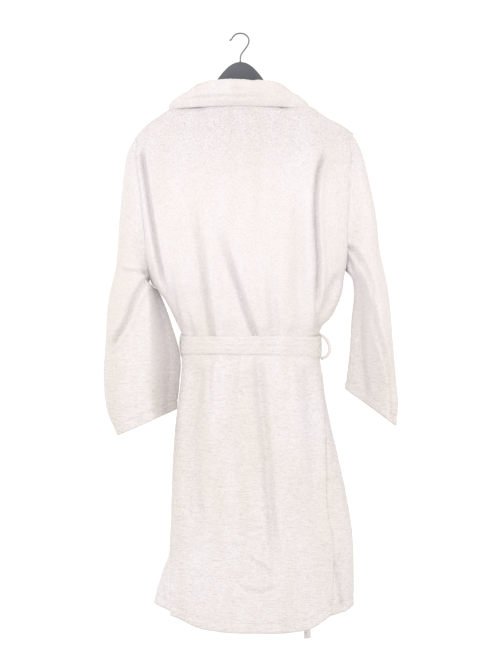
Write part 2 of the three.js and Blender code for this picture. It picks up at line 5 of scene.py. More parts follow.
import bmesh
import bpy
import numpy as np
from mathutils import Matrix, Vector


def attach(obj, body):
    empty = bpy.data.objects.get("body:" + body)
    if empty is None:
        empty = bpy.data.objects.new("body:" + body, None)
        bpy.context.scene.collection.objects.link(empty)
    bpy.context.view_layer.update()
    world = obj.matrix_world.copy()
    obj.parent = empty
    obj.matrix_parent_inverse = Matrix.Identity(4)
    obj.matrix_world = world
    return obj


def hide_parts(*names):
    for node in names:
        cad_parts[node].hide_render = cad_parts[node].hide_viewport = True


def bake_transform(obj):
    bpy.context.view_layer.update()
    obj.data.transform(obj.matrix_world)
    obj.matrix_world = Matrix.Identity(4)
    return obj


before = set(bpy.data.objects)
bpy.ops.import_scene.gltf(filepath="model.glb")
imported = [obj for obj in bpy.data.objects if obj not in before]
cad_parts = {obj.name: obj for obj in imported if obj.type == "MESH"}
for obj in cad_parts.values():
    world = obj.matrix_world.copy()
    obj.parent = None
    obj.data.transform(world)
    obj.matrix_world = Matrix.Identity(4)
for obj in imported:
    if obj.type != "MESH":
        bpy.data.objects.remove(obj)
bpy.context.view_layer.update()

MM = 0.001
CLOTH = 4.0  # pile to pile, mm
PILE = 0.45  # how far the pile stands up or down, mm
rng = np.random.default_rng(7)


# ---------------------------------------------------------------- small maths
def mix(a, b, t):
    return a + (b - a) * t


def smooth(t, low=0.0, high=1.0):
    t = np.clip((t - low) / (high - low), 0, 1)
    return t * t * (3 - 2 * t)


def bump(t, width):
    return np.exp(-((t / width) ** 2))


def along(levels, values):
    """A smooth curve through values at the given levels (a cubic with Catmull-Rom slopes)."""
    levels, values = np.array(levels, float), np.array(values, float)
    slopes = np.gradient(values, levels)

    def at(level):
        level = np.clip(level, levels[0], levels[-1])
        i = np.clip(np.searchsorted(levels, level, side="right") - 1, 0, len(levels) - 2)
        span = levels[i + 1] - levels[i]
        t = (level - levels[i]) / span
        rise = (1 + 2 * t) * (1 - t) ** 2 * values[i] + t * t * (3 - 2 * t) * values[i + 1]
        tilt = t * (1 - t) ** 2 * slopes[i] - t * t * (1 - t) * slopes[i + 1]
        return rise + span * tilt

    return at


def run_of(points):
    """The distance along a line of points, at each of them."""
    return np.concatenate([[0], np.cumsum(np.linalg.norm(np.diff(points, axis=0), axis=1))])


def curve(points, count):
    """Evenly spaced points on a smooth curve through the given ones."""
    points = np.array(points, float)
    steps = run_of(points)
    fine = np.linspace(0, steps[-1], 12 * len(points))
    route = np.stack([along(steps, column)(fine) for column in points.T], 1)
    run = run_of(route)
    even = np.linspace(0, run[-1], count)
    return np.stack([np.interp(even, run, column) for column in route.T], 1)


def value_noise(x, z, cell, seed):
    """Smooth random values, about -1 to 1, on a plane cut into cells."""
    table = np.random.default_rng(seed).uniform(-1, 1, (64, 64))
    i, j = np.floor(x / cell).astype(int), np.floor(z / cell).astype(int)
    s, t = smooth(x / cell - i), smooth(z / cell - j)
    low = mix(table[i % 64, j % 64], table[(i + 1) % 64, j % 64], s)
    high = mix(table[i % 64, (j + 1) % 64], table[(i + 1) % 64, (j + 1) % 64], s)
    return mix(low, high, t)


def unit_grid(n, m):
    return np.meshgrid(np.linspace(0, 1, n), np.linspace(0, 1, m), indexing="ij")


# ---------------------------------------------------------------- folds
class Fold:
    """A crease or ridge along a smooth path of (x, level) points, in mm."""

    def __init__(self, path, height, width, lip=0.0, ends=(0.25, 0.1), grow=1.0):
        self.path = curve(path, 60)
        self.height, self.width, self.lip = height, width, lip
        self.ends, self.grow = ends, grow

    def relief(self, x, level):
        a, b = self.path[:-1], self.path[1:]
        run = b - a
        length = np.linalg.norm(run, axis=1)
        best = np.full(x.shape, 1e9)
        side = np.zeros(x.shape)
        share = np.zeros(x.shape)
        for i in range(len(a)):
            dx, dl = x - a[i, 0], level - a[i, 1]
            t = np.clip((dx * run[i, 0] + dl * run[i, 1]) / length[i] ** 2, 0, 1)
            ex, el = dx - t * run[i, 0], dl - t * run[i, 1]
            far = np.hypot(ex, el)
            near = far < best
            best = np.where(near, far, best)
            side = np.where(near, np.sign(run[i, 1] * ex - run[i, 0] * el), side)
            share = np.where(near, (i + t) / len(a), share)
        start, stop = self.ends
        fade = smooth(share, 0, start) if start else 1.0
        fade = fade * (smooth(1 - share, 0, stop) if stop else 1.0)
        fade = fade * mix(1.0, self.grow, share)
        offset = best * side
        lips = self.lip * bump(offset - 1.7 * self.width, 1.3 * self.width)
        lips = lips + 0.5 * self.lip * bump(offset + 1.9 * self.width, 1.5 * self.width)
        return fade * (self.height * bump(offset, self.width) + lips)


def folds(*rows):
    """Each row: path, height, width, lip, fading ends as shares of the path, growth along it."""
    return [Fold(*row) for row in rows]


BACK_FOLDS = folds(
    # armhole folds, the deepest of all
    ([(-221, 240), (-217, 268), (-206, 341), (-194, 420), (-181, 495), (-168, 556), (-158, 600)],
     -13, 5.5, 5, (0.12, 0.2)),
    ([(195, 240), (173, 305), (166, 378), (168, 451), (172, 510), (170, 560), (168, 667)],
     -13, 5.5, 6, (0.15, 0.3)),
    # gathers above the belt, and the soft ridges between them
    ([(-111, 300), (-100, 414), (-85, 495), (-77, 561), (-62, 668)], -10, 7, 4, (0.7, 0)),
    ([(-54, 380), (-48, 414), (-26, 495), (-4, 561), (18, 627), (33, 668)], -14, 7, 6, (0.6, 0)),
    ([(62, 500), (68, 560), (76, 668)], -6, 10, 3, (0.6, 0)),
    ([(118, 300), (124, 400), (130, 520), (140, 600)], -4, 12, 2, (0.4, 0.4)),
    ([(223, 525), (194, 583), (177, 632), (170, 667)], -9, 9, 4, (0.2, 0.1)),
    ([(-160, 500), (-150, 580), (-133, 655)], -6, 8, 3, (0.4, 0.1)),
    ([(-116, 600), (-108, 640), (-104, 668)], -4, 6, 2, (0.5, 0)),
    ([(-78, 330), (-68, 450), (-52, 560), (-22, 664)], 10, 17, 0, (0.5, 0.1)),
    ([(44, 440), (50, 560), (54, 664)], 7, 15, 0, (0.5, 0.1)),
    ([(100, 440), (104, 560), (112, 664)], 7, 14, 0, (0.5, 0.1)),
    ([(-138, 400), (-130, 500), (-114, 600), (-98, 664)], 7, 13, 0, (0.5, 0.1)),
    ([(146, 330), (148, 450), (150, 600)], 7, 10, 0, (0.4, 0.2)),
    ([(-20, 300), (-12, 400), (4, 480)], -5, 20, 0, (0.5, 0.5)),
    # folds of the skirt, hanging from the gathers
    ([(-88, 712), (-101, 800), (-110, 900), (-103, 1050), (-98, 1200)], -13, 19, 3, (0.1, 0.4)),
    ([(39, 712), (46, 818), (58, 928), (65, 1038), (77, 1148), (82, 1215)], -12, 11, 4, (0, 0.3)),
    ([(148, 712), (160, 900), (168, 1050), (176, 1180)], -6, 15, 2, (0.1, 0.4)),
    ([(-10, 712), (-14, 760), (-18, 850)], -4, 8, 2, (0, 0.7)),
    ([(-64, 712), (-66, 770), (-70, 860)], -5, 7, 3, (0, 0.7)),
    ([(98, 712), (104, 770), (114, 860)], -4, 8, 2, (0, 0.7)),
    ([(2, 712), (4, 850), (8, 1000), (4, 1150)], 10, 22, 0, (0.1, 0.5)),
    ([(-58, 720), (-58, 850), (-48, 1000)], 6, 16, 0, (0.1, 0.5)),
    ([(108, 720), (118, 900), (126, 1100)], 8, 24, 0, (0.1, 0.4)),
    # creases near the hem
    ([(-14, 1213), (24, 1229), (60, 1231), (88, 1220)], -4, 5, 2.5, (0.3, 0.3)),
    ([(3, 1147), (40, 1170), (76, 1199)], -4, 5, 2.5, (0.4, 0.2)),
    ([(60, 1090), (72, 1140), (84, 1160)], -3, 6, 1.5, (0.4, 0.4)),
    ([(-40, 1120), (-10, 1132), (30, 1128)], -2, 6, 1, (0.4, 0.4)),
    # yoke, below the collar
    ([(-170, 205), (-110, 222), (-40, 232)], -3, 14, 1.5, (0.3, 0.5)),
    ([(190, 235), (130, 260), (70, 270)], -3, 14, 1.5, (0.3, 0.5)),
)
FLAP_FOLDS = folds(
    ([(192, 1080), (200, 1150), (217, 1205), (226, 1262)], -8, 6, 4, (0.3, 0)),
    ([(214, 960), (226, 1060), (240, 1160)], 3, 10, 0, (0.3, 0.3)),
    ([(-170, 1180), (-172, 1230), (-168, 1270)], -3, 6, 1.5, (0.3, 0)),
)
LEFT_SLEEVE_FOLDS = folds(
    ([(-276, 522), (-240, 528), (-204, 532)], -4, 5, 3, (0.3, 0.1)),
    ([(-200, 538), (-232, 583), (-252, 636), (-278, 680), (-290, 700)], -9, 6.5, 5, (0.1, 0.12), 1.5),
    ([(-250, 330), (-236, 400), (-222, 520)], -4, 12, 2, (0.4, 0.2)),
    ([(-262, 690), (-258, 760), (-250, 850)], 4, 16, 0, (0.3, 0.3)),
)
RIGHT_SLEEVE_FOLDS = folds(
    ([(214, 462), (236, 472), (262, 497), (288, 552), (297, 600)], -8, 6, 4.5, (0.2, 0.2)),
    ([(230, 480), (244, 510), (252, 545)], -5, 6, 3, (0.3, 0.3)),
    ([(294, 590), (300, 654), (318, 709), (333, 766), (338, 850)], -9, 6, 5, (0.2, 0), 0.8),
    ([(262, 600), (266, 700), (280, 810)], -4, 9, 3, (0.3, 0.1)),
    ([(250, 290), (264, 380), (288, 470)], -4, 12, 2.5, (0.4, 0.3)),
)


def relief(creases, x, level):
    return sum(fold.relief(x, level) for fold in creases)


def rumple(x, level):
    """The slow unevenness of hanging cloth, in mm."""
    slow = 1.6 * value_noise(x + 900, level * 0.55, 62, 3)
    return slow + 0.7 * value_noise(x + 900, level * 0.7, 27, 4)

# ---------------------------------------------------------------- the body of the robe
# levels are mm below the top of the hook, and x is across the robe
SHOULDER_HALF, PIT, ARM_DEPTH, SHOULDER_ROUND = 242.0, 545.0, 42.0, 50.0
NECK_HALF, NECK_DEPTH = 92.0, 45.0
BELT_LEVEL = 690.0
HEM_INSET, CUFF_INSET = 21.0, 19.0  # the sewn line above an edge

left_x = along(
    [221, 414, 530, 552, 580, 615, 650, 668, 712, 766, 834, 969, 1118, 1150, 1190, 1256, 1300],
    [-236, -214, -203, -197, -172, -153, -136, -128, -129, -131, -140, -151, -156, -158, -172, -189, -193],
)
right_x = along(
    [221, 414, 530, 552, 580, 615, 650, 670, 712, 766, 834, 942, 1030, 1090, 1176, 1264, 1300],
    [249, 238, 231, 225, 219, 204, 180, 171, 175, 182, 193, 217, 235, 245, 250, 250, 249],
)
depth = along([221, 380, 545, 625, 690, 760, 987, 1300], [45, 60, 68, 62, 55, 64, 85, 96])
left_seam_x = along([690, 900, 1118, 1200, 1330], [-127, -143, -152, -153, -155])
right_seam_x = along([690, 820, 927, 1070, 1118, 1200, 1330], [170, 187, 190, 194, 204, 204, 199])


# the right shoulder hangs a little higher than the left one
shoulder_line = along(
    [-242, -236, -210, -182, -155, -120, -92, 92, 120, 150, 194, 230, 249, 256],
    [243, 234, 205, 184, 166, 154, 149, 149, 151, 158, 187, 206, 221, 228],
)


def shoulder_level(x):
    return shoulder_line(x) + 2 * np.maximum(0, 1 - (x / NECK_HALF) ** 2)


def shoulder_x(around):
    return 6.5 - SHOULDER_HALF * np.cos(math.pi * around)


def middle_x(level):
    return (left_x(level) + right_x(level)) / 2


def half_x(level):
    return (right_x(level) - left_x(level)) / 2


# the hem, by how far across the robe it is: the back's, and the shorter fronts'
back_hem = along(
    [-165, -141, -116, -94, -56, 26, 109, 164, 186, 203, 225],
    [1282, 1288, 1300, 1310, 1317, 1321, 1320, 1308, 1294, 1282, 1278],
)
front_hem = along(
    [-195, -185, -146, -60, 20, 100, 160, 204, 247, 256],
    [1259, 1262, 1278, 1292, 1296, 1293, 1288, 1283, 1266, 1261],
)


def mouth_depth(level, side):
    top = np.where(side < 0, shoulder_level(-236.0), shoulder_level(249.0))
    share = np.clip((level - top) / (PIT - top), 0, 1)
    return ARM_DEPTH * 2 * np.sqrt(share * (1 - share))


def around_at(x, level):
    """Where along the cross-section, 0 at the left and 1 at the right, a side seam lies."""
    return np.arccos(np.clip((middle_x(level) - x) / half_x(level), -1, 1)) / math.pi


def body_surface(around, level, face, out=0.0):
    """Points of the body's cross-section: around 0 to 1 from left to right, face -1 back, 1 front."""
    sine = np.abs(np.sin(math.pi * around)) ** 0.8
    top_x = shoulder_x(around)
    mouth = np.maximum(mouth_depth(level, np.where(around < 0.5, -1, 1)) + out, 0.0)
    mouth = np.where(level < PIT, mouth, 0.0)
    full = depth(level) + out
    y = np.sqrt(mouth**2 + np.maximum(0, full**2 - mouth**2) * sine**2)
    neck = NECK_DEPTH * np.sqrt(np.maximum(0, 1 - (top_x / NECK_HALF) ** 2)) if face < 0 else 0.0
    edge = np.maximum(neck, 0.1)
    drop = 1 - np.clip((level - shoulder_level(top_x) + out) / SHOULDER_ROUND, 0, 1)
    y = np.sqrt(edge**2 + np.maximum(0, y**2 - edge**2) * (1 - drop**2))
    x = middle_x(level) - (half_x(level) + out) * np.cos(math.pi * around)
    return np.stack([x, face * y, -level], -1)


def body_axis(level):
    return np.stack([middle_x(level), np.zeros_like(level), -level], -1)


def normals_of(grid, closed=False):
    """Unit normals of a grid of points by central differences."""
    du = np.roll(grid, -1, 0) - np.roll(grid, 1, 0) if closed else np.gradient(grid, axis=0)
    return unit(np.cross(du, np.gradient(grid, axis=1)))


def unit(vectors):
    return vectors / np.maximum(np.linalg.norm(vectors, axis=-1, keepdims=True), 1e-9)


def inward_sign(grid, away, closed=False):
    """-1 where the grid's own normals point the same way as away, and 1 where they don't."""
    return -1.0 if np.mean(np.sum(normals_of(grid, closed) * away, -1)) > 0 else 1.0


# ---------------------------------------------------------------- meshes
def new_mesh(name, vertices, faces, material):
    mesh = bpy.data.meshes.new(name)
    mesh.from_pydata([tuple(v) for v in vertices], [], faces)
    mesh.validate()
    bm = bmesh.new()
    bm.from_mesh(mesh)
    bmesh.ops.remove_doubles(bm, verts=bm.verts, dist=1e-6)
    bmesh.ops.recalc_face_normals(bm, faces=bm.faces)
    bm.to_mesh(mesh)
    bm.free()
    mesh.shade_smooth()
    mesh.materials.append(material)
    return placed(name, mesh)


def placed(name, data, where=(0, 0, 0)):
    item = bpy.data.objects.new(name, data)
    item.location = where
    bpy.context.collection.objects.link(item)
    return item


def cloth_piece(name, grid, material, thick=CLOTH, closed=False, inward=1.0):
    """A sheet with a body: grid (n, m, 3) in mm is its outer face, and its edges are round."""
    n, m, _ = grid.shape
    normal = normals_of(grid, closed) * inward
    inner = grid + normal * thick
    grid = grid + normal * rng.uniform(-PILE, PILE, (n, m, 1))
    vertices = np.concatenate([grid.reshape(-1, 3), inner.reshape(-1, 3)]) * MM

    def at(layer, i, j):
        return layer * n * m + (i % n) * m + j

    faces = []
    for i in range(n if closed else n - 1):
        for j in range(m - 1):
            faces.append((at(0, i, j), at(0, i, j + 1), at(0, i + 1, j + 1), at(0, i + 1, j)))
            faces.append((at(1, i, j), at(1, i + 1, j), at(1, i + 1, j + 1), at(1, i, j + 1)))
    if closed:
        rims = [[(i, j) for i in range(n)] + [(0, j)] for j in (0, m - 1)]
    else:
        rim = [(i, 0) for i in range(n)] + [(n - 1, j) for j in range(1, m)]
        rim += [(i, m - 1) for i in range(n - 2, -1, -1)] + [(0, j) for j in range(m - 2, -1, -1)]
        rims = [rim]
    extra = []
    for loop in rims:
        middle = {}
        for i, j in loop:
            if (i, j) in middle:
                continue
            across = np.zeros(3)
            if j == 0:
                across += grid[i, 0] - grid[i, 1]
            if j == m - 1:
                across += grid[i, m - 1] - grid[i, m - 2]
            if not closed and i == 0:
                across += grid[0, j] - grid[1, j]
            if not closed and i == n - 1:
                across += grid[n - 1, j] - grid[n - 2, j]
            point = (grid[i, j] + inner[i, j]) / 2 + unit(across) * thick * 0.42
            middle[(i, j)] = 2 * n * m + len(extra)
            extra.append(point * MM)
        for (i, j), (k, l) in zip(loop[:-1], loop[1:]):
            faces.append((at(0, i, j), at(0, k, l), middle[(k, l)], middle[(i, j)]))
            faces.append((middle[(i, j)], middle[(k, l)], at(1, k, l), at(1, i, j)))
    vertices = np.concatenate([vertices, np.array(extra)])
    return new_mesh(name, vertices, faces, material)


def tube_faces(count, sides, first=0):
    """Rings joined one to the next, with a cap at each end."""
    faces = []
    for i in range(count - 1):
        for k in range(sides):
            a, b = first + i * sides + k, first + i * sides + (k + 1) % sides
            faces.append((a, b, b + sides, a + sides))
    faces.append(tuple(range(first, first + sides)))
    faces.append(tuple(first + (count - 1) * sides + k for k in reversed(range(sides))))
    return faces


def strip(name, path, wide, thick, material, across=(0, 1, 0), twist=None, sides=10):
    """A flat band of rounded section swept along a path of points in mm."""
    path = np.array(path, float)
    run = unit(np.gradient(path, axis=0))
    side = unit(np.cross(np.cross(run, np.broadcast_to(across, run.shape)), run))
    up = np.cross(side, run)
    if twist is not None:
        c, s = np.cos(twist)[:, None], np.sin(twist)[:, None]
        side, up = side * c + up * s, up * c - side * s
    wide = np.broadcast_to(wide, len(path))[:, None]
    thick = np.broadcast_to(thick, len(path))[:, None]
    rings = []
    for k in range(sides):
        angle = 2 * math.pi * (k + 0.5) / sides
        c, s = math.cos(angle), math.sin(angle)
        flat = np.sign(c) * abs(c) ** 0.45
        rings.append(path + side * flat * wide / 2 + up * s * thick / 2)
    vertices = np.stack(rings, 1).reshape(-1, 3) * MM
    return new_mesh(name, vertices, tube_faces(len(path), sides), material)


def stitches(name, lines, length=3.0, pitch=4.4, radius=0.42):
    """Short raised threads along lines; each line is (points, normals) in mm."""
    vertices, faces = [], []
    for points, normals in lines:
        run = run_of(points)
        for start in np.arange(0, run[-1] - length, pitch):
            ends = [np.array([np.interp(start + s, run, c) for c in points.T]) for s in (0, length)]
            out = unit(np.array([np.interp(start, run, c) for c in normals.T]))
            wide = np.cross(unit(ends[1] - ends[0]), out)
            faces += tube_faces(4, 6, len(vertices))
            for share, size in ((0, 0.35), (0.3, 1), (0.7, 1), (1, 0.35)):
                centre = mix(ends[0], ends[1], share) + out * radius * 0.35
                for a in range(6):
                    angle = 2 * math.pi * a / 6
                    ring = wide * math.cos(angle) + out * math.sin(angle)
                    vertices.append((centre + ring * radius * size) * MM)
    return new_mesh(name, vertices, faces, THREAD)


# ---------------------------------------------------------------- materials
def shader(name):
    material = bpy.data.materials.new(name)
    material.use_nodes = True
    tree = material.node_tree
    return material, tree, tree.nodes["Principled BSDF"]


def node(tree, kind, **values):
    made = tree.nodes.new(kind)
    for key, value in values.items():
        if key in made.inputs:
            made.inputs[key].default_value = value
        else:
            setattr(made, key, value)
    return made


def place_of(tree, scale=(1, 1, 1)):
    where = node(tree, "ShaderNodeTexCoord")
    mapping = node(tree, "ShaderNodeMapping")
    mapping.inputs["Scale"].default_value = scale
    tree.links.new(where.outputs["Object"], mapping.inputs["Vector"])
    return mapping.outputs["Vector"]


def blend_colours(tree, factor, low, high, spread=(0.3, 0.7)):
    ramp = node(tree, "ShaderNodeValToRGB")
    ramp.color_ramp.elements[0].position = spread[0]
    ramp.color_ramp.elements[1].position = spread[1]
    ramp.color_ramp.elements[0].color = (*low, 1)
    ramp.color_ramp.elements[1].color = (*high, 1)
    tree.links.new(factor, ramp.inputs["Fac"])
    return ramp.outputs["Color"]


def multiply(tree, a, b, factor=None):
    made = node(tree, "ShaderNodeMix", data_type="RGBA", blend_type="MULTIPLY")
    made.inputs["Factor"].default_value = 1.0
    if factor is not None:
        tree.links.new(factor, made.inputs["Factor"])
    tree.links.new(a, made.inputs["A"])
    tree.links.new(b, made.inputs["B"])
    return made.outputs["Result"]


def texture(tree, kind, place, **values):
    made = node(tree, kind, **values)
    tree.links.new(place, made.inputs["Vector"])
    return made


def remap(tree, value, low, high, start=0.0, stop=1.0, **values):
    made = node(tree, "ShaderNodeMapRange", **values)
    for key, number in (("From Min", start), ("From Max", stop), ("To Min", low), ("To Max", high)):
        made.inputs[key].default_value = number
    tree.links.new(value, made.inputs["Value"])
    return made.outputs["Result"]


def relieved(tree, face, height, strength, distance):
    """Raise the surface by a texture's value."""
    lift = node(tree, "ShaderNodeBump", Strength=strength, Distance=distance)
    tree.links.new(height, lift.inputs["Height"])
    tree.links.new(lift.outputs["Normal"], face.inputs["Normal"])


def terry(name="terry", with_speck_and_painted_shade=True):
    """Loop pile in level rows, with loops of 2 mm and slow changes of tone, and painted shade in the pits
    between loops, in the troughs of the rows and on the shoulders.
    """
    material, tree, face = shader(name)
    place = place_of(tree)
    hanging, level_rows = place_of(tree, (1.0, 1.0, 0.16)), place_of(tree, (0.15, 0.15, 1.0))
    slow = texture(tree, "ShaderNodeTexNoise", hanging, Scale=17.0, Detail=2.0)
    loops = texture(tree, "ShaderNodeTexVoronoi", place, Scale=420.0, Randomness=0.8)
    fuzz = texture(tree, "ShaderNodeTexNoise", place, Scale=330.0, Detail=3.0, Roughness=0.6)
    rows = texture(tree, "ShaderNodeTexNoise", level_rows, Scale=400.0, Detail=1.0, Roughness=0.5)
    # the fuzz shows most on the shoulders, where its speck is partly painted shade, and the rows in the
    # hanging skirt
    split = node(tree, "ShaderNodeSeparateXYZ")
    tree.links.new(place, split.inputs["Vector"])
    shoulders, skirt = (
        remap(tree, split.outputs["Z"], 0, 1, start, stop, interpolation_type="SMOOTHSTEP")
        for start, stop in ((-0.38, -0.18), (-0.50, -0.80))
    )
    slow, loops, fuzz, rows = (
        slow.outputs["Fac"], loops.outputs["Distance"], fuzz.outputs["Fac"], rows.outputs["Fac"]
    )
    tone = blend_colours(tree, slow, (0.77, 0.742, 0.735), (0.80, 0.778, 0.805), (0.36, 0.62))
    # painted shade: the pits between the loops, low in the bump, are painted a darker tan
    painted_pit_shade = blend_colours(tree, loops, (1, 1, 1), (0.90, 0.87, 0.84), (0.2, 0.8))
    # painted shade: the troughs of the rows, low in their bump, are painted a little darker
    painted_row_shade = blend_colours(tree, rows, (0.965, 0.955, 0.94), (1, 1, 1), (0.36, 0.54))
    # the lavender-grey speck on the shoulders: real speckle of the pile, and painted shade on the upper
    # cloth
    speck_and_painted_shade = blend_colours(tree, fuzz, (0.84, 0.82, 0.87), (1, 1, 1), (0.36, 0.54))
    colour = multiply(tree, tone, painted_pit_shade)
    if with_speck_and_painted_shade:
        colour = multiply(tree, colour, speck_and_painted_shade, shoulders)
    colour = multiply(tree, colour, painted_row_shade, skirt)
    tree.links.new(colour, face.inputs["Base Color"])
    below = None
    for height, strength, distance, inverted in (
        (rows, remap(tree, skirt, 0.35, 0.95), 0.0021, False),
        (loops, None, 0.0012, True),
        (fuzz, remap(tree, shoulders, 0.3, 0.6), 0.0024, False),
    ):
        lift = node(tree, "ShaderNodeBump", Strength=0.28, Distance=distance, invert=inverted)
        if strength is not None:
            tree.links.new(strength, lift.inputs["Strength"])
        tree.links.new(height, lift.inputs["Height"])
        if below is not None:
            tree.links.new(below, lift.inputs["Normal"])
        below = lift.outputs["Normal"]
    tree.links.new(below, face.inputs["Normal"])
    face.inputs["Roughness"].default_value = 0.95
    face.inputs["Sheen Weight"].default_value = 0.25
    face.inputs["Sheen Roughness"].default_value = 0.6
    face.inputs["Specular IOR Level"].default_value = 0.15
    return material


def thread():
    """Sewing thread, with its twist."""
    material, tree, face = shader("thread")
    wave = {"Scale": 700.0, "Distortion": 1.0, "bands_direction": "DIAGONAL"}
    twist = texture(tree, "ShaderNodeTexWave", place_of(tree), **wave).outputs["Fac"]
    colour = blend_colours(tree, twist, (0.72, 0.68, 0.61), (0.84, 0.81, 0.76))
    tree.links.new(colour, face.inputs["Base Color"])
    relieved(tree, face, twist, 0.4, 0.0003)
    face.inputs["Roughness"].default_value = 0.7
    return material


def satin():
    """A woven ribbon, for the label and the hanging loop."""
    material, tree, face = shader("satin")
    place = place_of(tree)
    warp, weft = (
        texture(tree, "ShaderNodeTexWave", place, Scale=420.0, Distortion=0.4, bands_direction=axis)
        for axis in ("X", "Z")
    )
    colour = blend_colours(tree, warp.outputs["Fac"], (0.78, 0.76, 0.72), (0.86, 0.85, 0.82))
    tree.links.new(colour, face.inputs["Base Color"])
    relieved(tree, face, weft.outputs["Fac"], 0.3, 0.0002)
    face.inputs["Roughness"].default_value = 0.45
    face.inputs["Sheen Weight"].default_value = 0.2
    return material


def slate():
    """Moulded grey plastic with a fine spark texture and rubbed patches."""
    material, tree, face = shader("slate")
    place = place_of(tree)
    spark = texture(tree, "ShaderNodeTexNoise", place, Scale=900.0, Detail=3.0).outputs["Fac"]
    worn = texture(tree, "ShaderNodeTexNoise", place, Scale=22.0, Detail=5.0).outputs["Fac"]
    colour = blend_colours(tree, worn, (0.082, 0.09, 0.107), (0.112, 0.12, 0.14))
    tree.links.new(colour, face.inputs["Base Color"])
    tree.links.new(remap(tree, worn, 0.38, 0.62), face.inputs["Roughness"])
    relieved(tree, face, spark, 0.25, 0.0003)
    return material


def steel():
    """Drawn wire, with fine marks along it."""
    material, tree, face = shader("steel")
    place = place_of(tree, (1, 1, 0.08))
    drawn = texture(tree, "ShaderNodeTexNoise", place, Scale=1400.0, Detail=3.0).outputs["Fac"]
    colour = blend_colours(tree, drawn, (0.13, 0.135, 0.145), (0.2, 0.205, 0.215))
    tree.links.new(colour, face.inputs["Base Color"])
    tree.links.new(remap(tree, drawn, 0.22, 0.4), face.inputs["Roughness"])
    face.inputs["Metallic"].default_value = 1.0
    return material


TERRY, THREAD, SATIN, SLATE, STEEL = terry(), thread(), satin(), slate(), steel()
# a copy of the terry without the shoulders' speck and painted shade, so the collar stays lighter: painted
# light
TERRY_WITHOUT_SPECK_AND_SHOULDER_SHADE = terry("terry_without_speck_and_shoulder_shade", with_speck_and_painted_shade=False)


# ---------------------------------------------------------------- panels
def dress(piece, *nodes, body="robe", slot="terry"):
    if nodes:
        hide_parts(*nodes)
    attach(piece, body)


def on_robe(part):
    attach(part, "robe")


def hang(piece, threads, nodes, hold):
    """Hide the model's nodes for a hanging cloth; it and its hem stitches are held the same way."""
    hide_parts(*nodes)
    for part in (piece, threads):
        hold(part)


def hem_dip(height_mm, inset_mm=HEM_INSET):
    """The stitched line that holds a hem: a narrow dip this far above the edge."""
    return -1.3 * bump(height_mm - inset_mm, 2.2) + 0.6 * smooth(1 - height_mm / inset_mm)


def crowded(q):
    """Shares of the height that crowd towards the shoulder, where the cloth turns over."""
    return 0.35 * q**1.9 + 0.65 * q


def back_panel():
    p, q = unit_grid(170, 330)
    top = shoulder_level(shoulder_x(p))
    hem = 1300.0
    for _ in range(3):
        level = mix(top, hem, crowded(q))
        start = np.where(level > BELT_LEVEL, around_at(left_seam_x(level), level), 0.0)
        stop = np.where(level > BELT_LEVEL, around_at(right_seam_x(level), level), 1.0)
        around = mix(start, stop, p)
        hem = back_hem(body_surface(around, level, -1)[..., 0])
    grid = body_surface(around, level, -1)
    x = grid[..., 0]
    seam = smooth(np.minimum(p, 1 - p), 0, 0.03)
    out = (relief(BACK_FOLDS, x, level) + rumple(x, level) + skirt_waves(x, level)) * seam
    out += hem_dip(hem - level)
    out *= smooth(level - top, 0, 30) * clear_of_belt(level)
    normal = normals_of(grid)
    outward = np.where(normal[..., 1:2] > 0, -normal, normal)
    grid = grid + outward * out[..., None]
    piece = cloth_piece("back_panel_cloth", grid, TERRY, inward=inward_sign(grid, outward))
    hem_line = line_at(grid, outward, hem - level, HEM_INSET)
    threads = stitches("back_hem_stitches", [hem_line])
    hang(piece, threads, ["back_panel"], on_robe)


def clear_of_belt(level):
    """Folds run in under the belt from above, and start again a little below it."""
    below = level - BELT_LEVEL
    return np.where(below < 0, smooth(-below, 15, 23), smooth(below, 17, 50))


def line_at(grid, outward, height, value):
    """The line across a grid where the height above the hem has this value."""
    points, normals = [], []
    for row, out, above in zip(grid, outward, height):
        order = np.argsort(above)
        points.append([np.interp(value, above[order], c[order]) for c in row.T])
        normals.append([np.interp(value, above[order], c[order]) for c in out.T])
    return np.array(points), np.array(normals)


def skirt_waves(x, level):
    """Soft hanging flutes that deepen towards the hem."""
    grow = smooth(level, 730, 1250)
    flutes = 3.6 * np.sin((x + 30) / 34 + 0.4 * np.sin(level / 170))
    return grow * (flutes + 2.2 * np.sin((x - 80) / 21 + level / 260))


def front(name, low_edge, high_edge, layer, nodes, hold):
    """One front panel between two lines around the body, each a function of level."""
    p, q = unit_grid(110, 260)
    level = mix(160.0, 1270.0, q)
    for _ in range(4):
        around = mix(low_edge(level), high_edge(level), p)
        wrapped = np.where(around < 0, -around, np.where(around > 1, 2 - around, around))
        grid = body_surface(wrapped, level, 1)
        hem = front_hem(grid[..., 0])
        top = shoulder_level(shoulder_x(np.clip(around, 0, 1)))
        level = mix(top, hem, crowded(q))
    grid[..., 2] = -level
    behind = (around < 0) | (around > 1)
    grid[..., 1] = np.where(behind, -grid[..., 1], grid[..., 1])
    x = grid[..., 0]
    normal = normals_of(grid)
    outward = normal * np.sign(np.sum(normal * (grid - body_axis(level)), -1, keepdims=True))
    seam = smooth(np.minimum(p, 1 - p), 0, 0.04)
    out = 0.6 * rumple(x + 300, level) + 0.7 * skirt_waves(x + 40, level)
    out = out + relief(FLAP_FOLDS, x, level) * behind
    out = out * seam + layer(around, level) + hem_dip(hem - level)
    out = out - 3.0 * (1 - seam) * behind
    out *= smooth(level - top, 0, 25) * mix(1, clear_of_belt(level), behind)
    sign = inward_sign(grid, outward)
    grid = grid + outward * out[..., None]
    piece = cloth_piece(f"{name}_cloth", grid, TERRY, inward=sign)
    hem_line = line_at(grid, outward, hem - level, HEM_INSET)
    threads = stitches(f"{name}_hem_stitches", [hem_line])
    hang(piece, threads, nodes, hold)


